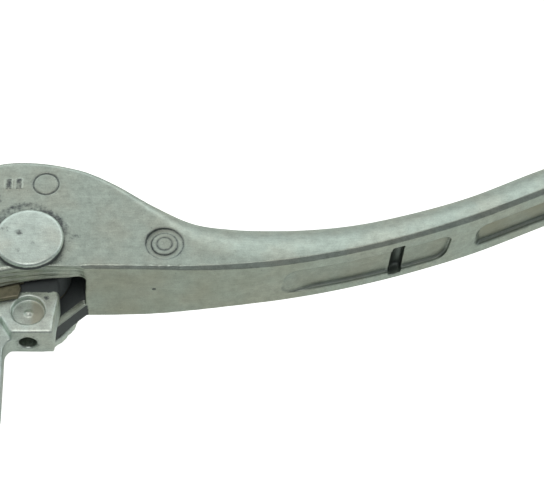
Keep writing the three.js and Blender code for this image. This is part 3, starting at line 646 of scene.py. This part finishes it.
def make_pin(material):
    grid = grid_round("pivot_pin", 0.2)
    x, y, z = grid.x, grid.y, grid.z
    radius = np.hypot(x, y)
    crown = PIN["top"] - 0.12 * (radius / PIN["head"]) ** 2
    head = soft_max(soft_max(radius - PIN["head"], z - crown, 1.0), PIN["seat"] - z, 0.2)
    shank = np.maximum(radius - PIN["radius"], slab(z, FLANGE["bottom"] + 1.2, PIN["seat"] + 1))
    screw = soft_max(thread(x, y, z, PIN["thread"]), slab(z, NUT_TOP - NUT["thickness"] - 1.5, -10), 0.5)
    body = soft_min(soft_min(head, shank, 0.1), screw, 0.2) + 0.02 * ripple(x, y, z, 9)
    chance = np.random.default_rng(PIN_DENTS["seed"])
    for _ in range(PIN_DENTS["count"]):
        turn, reach = chance.uniform(0, 2 * math.pi), PIN_DENTS["reach"] * math.sqrt(chance.uniform(0, 1))
        size = chance.uniform(*PIN_DENTS["size"])
        dent(grid, body, (reach * math.cos(turn), reach * math.sin(turn), PIN["top"] + size * 0.82), size, 0.1)
    finish_piece("pivot_pin", grid, body, "pin_metal", material, grime=pin_grime)


def make_shim(material):
    grid = grid_round("thrust_shim_upper", 0.2)
    tail = [(-12, -8.6), (-12, -12.6), (-2.15, -10.6), (-1.6, -8.4), (-2, -7.2)]
    shape = outline(arc((0, 0), SHIM["outer"], -40, 220) + tail, grid.x, grid.y)
    body = overlap(0.2, shape, slab(grid.z, *SHIM["upper"]), SHIM["inner"] - np.hypot(grid.x, grid.y))
    finish_piece("thrust_shim_upper", grid, body, "bronze", material)


def make_seal(node, height, material):
    grid = grid_round(node, 0.13)
    body = np.hypot(np.hypot(grid.x, grid.y) - SEAL["radius"], grid.z - height) - SEAL["cord"]
    finish_piece(node, grid, body, "rubber", material)


def make_nut(material):
    grid = grid_round("pivot_nut", 0.17)
    x, y = grid.x, grid.y
    z = NUT_TOP - grid.z
    radius = np.hypot(x, y)
    cone = (radius + 1.8 * np.abs(z - NUT["thickness"] / 2)) * 0.49 - 0.49 * (5.25 + 0.9 * NUT["thickness"])
    body = overlap(0.2, hexagon(x, y, NUT["flats"]), slab(z, 0, NUT["thickness"]), cone)
    hole = PIN["thread"] + 0.15 + np.maximum(z - NUT["thickness"] + 0.6, 0) - radius
    body = overlap(0.15, body, hole)
    finish_piece("pivot_nut", grid, body, "zinc_steel", material)


BOLT_GAP = 0.1           # between the parts of a bolt's stack, which starts at the cap's face
SPRING_BASE = BOLT_GAP + BOLT["washer"] + BOLT_GAP
HEAD_BASE = SPRING_BASE + BOLT["spring"] + BOLT_GAP


def make_bolt(node, origin, material):
    grid = grid_round(node, 0.2, turn=ALONG_REAR, origin=origin)
    x, y, z = grid.x, grid.y, grid.z
    radius = np.hypot(x, y)
    base = HEAD_BASE
    top = base + BOLT["head"]
    cone = (radius + 1.6 * (z - top)) * 0.53 - 0.53 * 4.75
    head = overlap(0.25, hexagon(x, y, BOLT["flats"]), slab(z, base, top), cone)
    dish = np.sqrt(radius ** 2 + ((z - top - 0.4) * 2.2) ** 2) - 2.9
    flange = soft_max(radius - BOLT["flange"] + 0.35 * (z - base), slab(z, base, base + 1.2), 0.4)
    end = base - (CLAMP["cap_depth"] + BOLT["washer"] + BOLT["spring"] + 0.3 + BOLT["end"])
    screw = np.where(z > -2, radius - BOLT["radius"], thread(x, y, z, BOLT["radius"]))
    screw = soft_max(screw, slab(z, end, base + 1), 0.5)
    body = soft_min(soft_max(soft_min(head, flange, 0.3), -dish, 0.2), screw, 0.15)
    finish_piece(node, grid, body, "zinc_steel", material)


def make_spring_washer(node, origin, material):
    grid = grid_round(node, 0.16, turn=ALONG_REAR, origin=origin)
    x, y, z = grid.x, grid.y, grid.z
    base = SPRING_BASE
    turn = np.arctan2(y, x) / (2 * math.pi) % 1 - 0.5
    coil = slab(z - base - BOLT["spring"] / 2 - 0.25 * turn, -0.6, 0.6)
    split = np.maximum(np.abs(y + 0.5 * (z - base - 0.75)) - 0.4, -x)
    body = overlap(0.2, slab(np.hypot(x, y), BOLT["radius"] + 0.3, BOLT["flange"] - 1), coil, -split)
    finish_piece(node, grid, body, "plain_steel", material)


ADJUSTER = {"thread": 4, "bore": 1.7, "ferrule": 3.2, "socket": 8, "head": 7.4, "inner": -17.4, "neck": -37.5,
            "outer": -47, "flutes": (10, 1.25)}
LOCK_RING = {"radius": 9.5, "right": -31.5, "left": -35.5, "dish": (5.6, 7.4), "flutes": (14, 1.2)}
CABLE_LINE = (0, CABLE["y"], 0)


def flutes(x, y, radius, count, width):
    """A round rim about z with evenly spaced rounded flutes."""
    angle = np.arctan2(y, x)
    nearest = (np.round(angle * count / (2 * math.pi) - 0.5) + 0.5) * 2 * math.pi / count
    groove = np.hypot(x - (radius + 0.6) * np.cos(nearest), y - (radius + 0.6) * np.sin(nearest)) - width
    return soft_max(np.hypot(x, y) - radius, -groove, 0.35)


def cable_slot(grid):
    """The slot that lets the wire drop in from below, in the axes of a piece along the cable's line."""
    return np.maximum(slab(grid.x, -CABLE["slit"], CABLE["slit"]), grid.y)


def make_adjuster(material):
    grid = grid_round("cable_adjuster", 0.2, turn=ALONG_X, origin=CABLE_LINE)
    x, y, z = grid.x, grid.y, grid.z
    radius = np.hypot(x, y)
    grip = flutes(x, y, ADJUSTER["head"], *ADJUSTER["flutes"])
    grip = soft_max(grip, slab(z, ADJUSTER["outer"], ADJUSTER["neck"]), 0.7)
    stem = soft_max(thread(x, y, z, ADJUSTER["thread"]), slab(z, ADJUSTER["neck"] - 0.5, ADJUSTER["inner"]), 0.4)
    body = soft_min(grip, stem, 0.3)
    socket = np.maximum(radius - ADJUSTER["ferrule"], z - ADJUSTER["outer"] - ADJUSTER["socket"])
    body = overlap(0.2, body, ADJUSTER["bore"] - radius, -socket, -cable_slot(grid))
    finish_piece("cable_adjuster", grid, body, "zinc_steel", material)


def make_lock_ring(material):
    grid = grid_round("adjuster_lock_ring", 0.2, turn=ALONG_X, origin=CABLE_LINE)
    x, y, z = grid.x, grid.y, grid.z
    rim = flutes(x, y, LOCK_RING["radius"], *LOCK_RING["flutes"])
    rim = soft_max(rim, slab(z, LOCK_RING["left"], LOCK_RING["right"]), 0.6)
    face = slab(z, LOCK_RING["left"] + 0.5, LOCK_RING["right"] + 1)
    rim = soft_max(rim, -overlap(0.3, slab(np.hypot(x, y), *LOCK_RING["dish"]), -face), 0.2)
    body = overlap(0.2, rim, ADJUSTER["thread"] + 0.3 - np.hypot(x, y), -cable_slot(grid))
    finish_piece("adjuster_lock_ring", grid, body, "plain_steel", material)


def make_seat(material):
    grid = grid_round("cable_seat", 0.2, origin=(SEAT["x"], SEAT["y"], 0))
    x, y, z = grid.x, grid.y, grid.z
    radius = np.hypot(x, y)
    floor = SEAT["top"] - 1.4
    hole = overlap(0.2, radius - 3.1, z - floor)
    wire = overlap(0.2, slab(y, -1.1, 1.1), x, z - floor)
    body = overlap(0.3, radius - SEAT["radius"], slab(z, -8.8, SEAT["top"]), -hole, -wire)
    finish_piece("cable_seat", grid, body, "acetal", material)


# ---- materials -----------------------------------------------------
# The last factor darkens hardware both for tarnish and for painted shade in its corners.
WARM, COOL, TAN, TARNISH_AND_SHADE = (1.0, 0.985, 0.95), (0.98, 1.02, 1.01), (0.82, 0.72, 0.58), (0.55, 0.55, 0.55)
# A dark grease colour, used both for grease and dirt and for painted shade on the castings.
GREASE_AND_SHADE = (0.095, 0.107, 0.107)


class Nodes:
    """Short ways to add and join the nodes of one material or world."""

    def __init__(self, tree):
        self.tree = tree

    def add(self, kind, **settings):
        node = self.tree.nodes.new(kind)
        for name, value in settings.items():
            setattr(node, name, value)
        return node

    def feed(self, socket, value):
        if isinstance(value, bpy.types.NodeSocket):
            self.tree.links.new(value, socket)
        else:
            socket.default_value = value

    def math(self, operation, a, b):
        node = self.add("ShaderNodeMath", operation=operation)
        self.feed(node.inputs[0], a)
        self.feed(node.inputs[1], b)
        return node.outputs[0]

    def weighted(self, *parts, plus=None):
        """The sum of values, each times its weight, and of a constant."""
        terms = [self.math("MULTIPLY", value, weight) for value, weight in parts]
        if plus is not None:
            terms.append(plus)
        total = terms[0]
        for term in terms[1:]:
            total = self.math("ADD", total, term)
        return total

    def mark(self, name):
        """A mark that the skin kept on the points."""
        return self.add("ShaderNodeAttribute", attribute_name=name).outputs["Fac"]

    def span(self, value, low, high, out_low=0.0, out_high=1.0):
        node = self.add("ShaderNodeMapRange", interpolation_type="SMOOTHSTEP")
        for socket, given in zip(node.inputs, (value, low, high, out_low, out_high)):
            self.feed(socket, given)
        return node.outputs[0]

    def mix(self, factor, a, b, blend="MIX"):
        node = self.add("ShaderNodeMix", data_type="RGBA", blend_type=blend)
        self.feed(node.inputs["Factor"], factor)
        self.feed(node.inputs[6], a)
        self.feed(node.inputs[7], b)
        return node.outputs[2]

    def noise(self, where, scale, detail=3.0, roughness=0.55):
        node = self.add("ShaderNodeTexNoise")
        self.feed(node.inputs["Vector"], where)
        self.feed(node.inputs["Scale"], scale)
        self.feed(node.inputs["Detail"], detail)
        self.feed(node.inputs["Roughness"], roughness)
        return node.outputs["Fac"]

    def stretched(self, where, scale, turn=(0, 0, 0)):
        node = self.add("ShaderNodeMapping")
        self.feed(node.inputs["Vector"], where)
        self.feed(node.inputs["Scale"], scale)
        self.feed(node.inputs["Rotation"], turn)
        return node.outputs["Vector"]


def start_material(name, metallic):
    """A material's nodes, its shader and the point being shaded, in millimetres from the pivot."""
    material = bpy.data.materials.new(name)
    material.use_nodes = True
    nodes = Nodes(material.node_tree)
    shader = material.node_tree.nodes["Principled BSDF"]
    shader.inputs["Metallic"].default_value = metallic
    coordinates = nodes.add("ShaderNodeTexCoord").outputs["Object"]
    moved = nodes.add("ShaderNodeVectorMath", operation="SUBTRACT")
    nodes.feed(moved.inputs[0], coordinates)
    nodes.feed(moved.inputs[1], PIVOT)
    scaled = nodes.add("ShaderNodeVectorMath", operation="SCALE")
    nodes.feed(scaled.inputs[0], moved.outputs[0])
    scaled.inputs["Scale"].default_value = 1 / MM
    return material, nodes, shader, scaled.outputs[0]


def relief(nodes, shader, height, distance):
    bump = nodes.add("ShaderNodeBump")
    bump.inputs["Strength"].default_value = 1.0
    bump.inputs["Distance"].default_value = distance * MM
    nodes.feed(bump.inputs["Height"], height)
    nodes.feed(shader.inputs["Normal"], bump.outputs["Normal"])


def occlusion(nodes, distance):
    node = nodes.add("ShaderNodeAmbientOcclusion", samples=8)
    node.inputs["Distance"].default_value = distance * MM
    return node.outputs["AO"]


def toned(tone, factors=(1, 1, 1)):
    """A shader's colour from a tone, with each channel multiplied."""
    return (*(c * f for c, f in zip(tone, factors)), 1)


def cast_metal(name, tone, roughness, grime, grease_and_shade_colour):
    """Tumbled cast aluminium: satin, faintly mottled, with fine scratches and pits. The piece's tan mark gives a
    brown film.
    Its hollows get painted shade, and its other marks painted shade and dirt, in a dark grease colour."""
    material, nodes, shader, point = start_material(name, 1.0)
    broad = nodes.noise(point, 0.12, 2)
    patch = nodes.noise(point, 0.55, 4)
    grain = nodes.noise(point, 3.2, 4, 0.65)
    streak = nodes.noise(nodes.stretched(point, (0.25, 1.6, 1.6)), 1.4, 3)
    scratch = nodes.noise(nodes.stretched(point, (0.7, 9, 9), (0, 0, 0.5)), 1.0, 2)
    pit = nodes.noise(point, 1.9, 2)
    colour = nodes.mix(nodes.span(broad, 0.35, 0.68), toned(tone, COOL), toned(tone, WARM))
    shade = nodes.weighted((patch, 0.42), (grain, 0.42), (streak, 0.22), plus=0.48)
    colour = nodes.mix(1.0, colour, nodes.span(shade, 0.0, 2.0, 0.0, 2.0), "MULTIPLY")
    colour = nodes.mix(nodes.math("MULTIPLY", nodes.mark("tan"), 0.8), colour, toned(tone, TAN))
    # The mark mixed in here paints shade in the notch, along the pockets and on the tongue's end face.
    colour = nodes.mix(nodes.math("MULTIPLY", nodes.mark("soot"), 0.85), colour, toned(grease_and_shade_colour))
    # Painted shade in hollows, where ambient occlusion finds them, broken up by patches.
    hollow = nodes.span(occlusion(nodes, 1.6), 0.3, 0.85, 1.0, 0.0)
    shade_and_dirt = nodes.math("MULTIPLY", hollow, nodes.span(patch, 0.25, 0.6, 0.55, 1.0))
    shade_and_dirt = nodes.math("MAXIMUM", nodes.math("MULTIPLY", shade_and_dirt, grime), nodes.span(pit, 0.71, 0.78, 0.0, 0.55))
    # The mark read here is partly painted shade and partly dirt, broken up by noise.
    marked = nodes.math("ADD", nodes.mark("grime"), nodes.noise(point, 1.1, 5, 0.65))
    shade_and_dirt = nodes.math("MAXIMUM", shade_and_dirt, nodes.span(marked, 0.78, 1.25))
    nodes.feed(shader.inputs["Base Color"], nodes.mix(shade_and_dirt, colour, toned(grease_and_shade_colour)))
    nodes.feed(shader.inputs["Metallic"], nodes.span(shade_and_dirt, 0.2, 1.0, 1.0, 0.1))
    rough = nodes.weighted((grain, 0.14), (scratch, 0.12), (shade_and_dirt, 0.3), plus=roughness - 0.13)
    nodes.feed(shader.inputs["Roughness"], rough)
    relief(nodes, shader, nodes.weighted((grain, 0.7), (scratch, 0.4)), 0.045)
    return material


def plain_metal(name, tone, roughness, worn=0.25):
    """Turned or plated hardware with slight tarnish, and painted shade in its corners."""
    material, nodes, shader, point = start_material(name, 1.0)
    patch = nodes.noise(point, 0.8, 4)
    grain = nodes.noise(point, 5.0, 3)
    tarnish = nodes.math("MULTIPLY", nodes.span(patch, 0.42, 0.7), worn)
    # Painted shade in corners, where ambient occlusion finds them.
    corner = nodes.span(occlusion(nodes, 1.2), 0.3, 0.9, 0.75, 0.0)
    colour = nodes.mix(nodes.math("MAXIMUM", tarnish, corner), toned(tone), toned(tone, TARNISH_AND_SHADE))
    nodes.feed(shader.inputs["Base Color"], colour)
    nodes.feed(shader.inputs["Roughness"], nodes.span(grain, 0.2, 0.8, roughness - 0.08, roughness + 0.1))
    relief(nodes, shader, grain, 0.012)
    return material


def dark_polymer(name, tone, roughness):
    material, nodes, shader, point = start_material(name, 0.0)
    grain = nodes.noise(point, 2.5, 4)
    dusty = tuple(c * 2.2 + 0.01 for c in tone)
    nodes.feed(shader.inputs["Base Color"], nodes.mix(nodes.span(grain, 0.45, 0.75), toned(tone), toned(dusty)))
    nodes.feed(shader.inputs["Roughness"], nodes.span(grain, 0.2, 0.8, roughness - 0.1, roughness + 0.1))
    relief(nodes, shader, grain, 0.02)
    return material


lever_metal = cast_metal("lever_cast_aluminium", (0.50, 0.54, 0.48), 0.36, 0.8, GREASE_AND_SHADE)
perch_metal = cast_metal("perch_cast_aluminium", (0.74, 0.79, 0.73), 0.38, 0.85, GREASE_AND_SHADE)
pin_metal = cast_metal("pin_satin_metal", (0.70, 0.75, 0.69), 0.36, 0.7, (0.09, 0.1, 0.1))
zinc_steel = plain_metal("zinc_plated_steel", (0.6, 0.6, 0.52), 0.32)
plain_steel = plain_metal("plain_steel", (0.45, 0.46, 0.44), 0.34)
bronze = plain_metal("bronze", (0.27, 0.25, 0.18), 0.45, 0.6)
rubber = dark_polymer("black_rubber", (0.012, 0.012, 0.012), 0.75)
acetal = dark_polymer("dark_acetal", (0.02, 0.021, 0.02), 0.42)

make_lever(lever_metal)
make_perch(perch_metal)
make_cap(perch_metal)
make_pin(pin_metal)
make_shim(bronze)
make_ring("thrust_shim_lower", SHIM["inner"], *SHIM["lower"], SHIM["outer"], bronze, "bronze")
make_ring("pivot_bush", PIN["radius"] + 0.05, -BUSH["half"], BUSH["half"], BUSH["outer"], bronze, "bronze")
make_seal("dust_seal_upper", SEAL["height"], rubber)
make_seal("dust_seal_lower", -SEAL["height"], rubber)
make_ring("pivot_washer", PIN["thread"] + 0.3, WASHER_TOP - NUT["washer"], WASHER_TOP, NUT["washer_radius"],
          zinc_steel, "zinc_steel")
make_nut(zinc_steel)
make_seat(acetal)
make_adjuster(zinc_steel)
make_lock_ring(plain_steel)
for level, z in (("upper", CLAMP["bolt"]), ("lower", -CLAMP["bolt"])):
    stack = (BAR[0], BAR[1] - CLAMP["cap_depth"], z)
    make_bolt(f"clamp_bolt_{level}", stack, zinc_steel)
    make_spring_washer(f"clamp_spring_washer_{level}", stack, plain_steel)
    make_ring(f"clamp_washer_{level}", BOLT["radius"] + 0.3, BOLT_GAP, BOLT_GAP + BOLT["washer"], BOLT["flange"],
              zinc_steel, "zinc_steel", turn=ALONG_REAR, origin=stack)

# ---- floor, light and camera ---------------------------------------
FLOOR_GAP = 0.001
FLOOR_SIZE = 3.0
FLOOR_GLOW = (0.14, 0.95)        # on the object, and to the camera
WORLD_STRENGTH = 1.3


def make_floor():
    """A plain pale table just under the lowest piece."""
    half = FLOOR_SIZE / 2
    height = CAD_BOX[0][2] - FLOOR_GAP
    mesh = bpy.data.meshes.new("floor")
    mesh.from_pydata([(-half, -half, height), (half, -half, height), (half, half, height), (-half, half, height)],
                     [], [(0, 1, 2, 3)])
    floor = bpy.data.objects.new("floor", mesh)
    bpy.context.scene.collection.objects.link(floor)
    material = bpy.data.materials.new("white_table")
    material.use_nodes = True
    nodes = Nodes(material.node_tree)
    shader = material.node_tree.nodes["Principled BSDF"]
    shader.inputs["Base Color"].default_value = (0.71, 0.73, 0.68, 1)
    shader.inputs["Roughness"].default_value = 0.9
    shader.inputs["Emission Color"].default_value = (1, 1, 1, 1)
    seen = nodes.add("ShaderNodeLightPath").outputs["Is Camera Ray"]
    nodes.feed(shader.inputs["Emission Strength"], nodes.span(seen, 0.0, 1.0, *FLOOR_GLOW))
    mesh.materials.append(material)


# Brightness by height, from 0 at the horizon to 1 overhead: beyond the object, and on the camera's side.
FAR_LEVELS = [(0.0, 0.2), (0.12, 0.36), (0.26, 0.8), (0.5, 1.0), (0.64, 0.85), (0.76, 0.42), (0.86, 0.3),
              (1.0, 0.5)]
NEAR_LEVELS = [(0.0, 0.22), (0.2, 0.16), (0.5, 0.13), (0.65, 0.15), (0.85, 0.35), (1.0, 0.5)]
FAR_TINT, NEAR_TINT, OVERHEAD_TINT = (0.94, 1.01, 1.04), (0.94, 1.0, 1.05), (0.98, 1.0, 0.97)
OVERHEAD_FROM = 0.7


def studio_side(nodes, up, levels, tint):
    """The colours of one side of the studio, by height."""
    node = nodes.add("ShaderNodeValToRGB")
    stops = node.color_ramp.elements
    while len(stops) < len(levels):
        stops.new(0.5)
    for stop, (height, level) in zip(stops, levels):
        stop.position = height
        channels = tint if height < OVERHEAD_FROM else OVERHEAD_TINT
        stop.color = (*(min(1, level * c) for c in channels), 1)
    nodes.feed(node.inputs[0], nodes.math("MAXIMUM", up, 0.0))
    return node.outputs[0]


def make_world():
    """Soft studio surroundings, bright half way up beyond the object and dim on the near side. The camera sees them
    as plain white."""
    world = bpy.data.worlds.new("studio")
    bpy.context.scene.world = world
    world.use_nodes = True
    nodes = Nodes(world.node_tree)
    background = world.node_tree.nodes["Background"]
    direction = nodes.add("ShaderNodeSeparateXYZ")
    nodes.feed(direction.inputs[0], nodes.add("ShaderNodeTexCoord").outputs["Generated"])
    across, up = direction.outputs[1], direction.outputs[2]
    far = studio_side(nodes, up, FAR_LEVELS, FAR_TINT)
    near = studio_side(nodes, up, NEAR_LEVELS, NEAR_TINT)
    surroundings = nodes.mix(nodes.span(across, -0.35, 0.35), near, far)
    seen = nodes.add("ShaderNodeLightPath").outputs["Is Camera Ray"]
    nodes.feed(background.inputs["Color"], nodes.mix(seen, surroundings, (1, 1, 1, 1)))
    background.inputs["Strength"].default_value = WORLD_STRENGTH


def make_lamp(name, place, target, size, power):
    lamp = bpy.data.objects.new(name, bpy.data.lights.new(name, "AREA"))
    lamp.data.shape = "DISK"
    lamp.data.size = size
    lamp.data.energy = power
    lamp.location = place
    lamp.rotation_mode = "QUATERNION"
    lamp.rotation_quaternion = (Vector(target) - Vector(place)).to_track_quat("-Z", "Y")
    bpy.context.scene.collection.objects.link(lamp)


ELEVATION = math.radians(55.0)
DISTANCE = 0.650
LENS = 202.2
SENSOR = 36.0
FOCUS = PIVOT + Vector((50.8, 5.7, 0.0)) * MM


def make_camera():
    camera = bpy.data.objects.new("camera", bpy.data.cameras.new("camera"))
    bpy.context.scene.collection.objects.link(camera)
    toward = Vector((0.0, math.cos(ELEVATION), -math.sin(ELEVATION)))
    camera.location = FOCUS - toward * DISTANCE
    camera.rotation_mode = "QUATERNION"
    camera.rotation_quaternion = toward.to_track_quat("-Z", "Y")
    camera.data.lens = LENS
    camera.data.sensor_width = SENSOR
    camera.data.clip_end = 10.0
    bpy.context.scene.camera = camera


make_floor()
make_world()
make_lamp("overhead", FOCUS + Vector((-0.1, -0.28, 0.85)), FOCUS, size=0.5, power=0.9)
make_camera()
bpy.context.scene.view_settings.view_transform = "Standard"
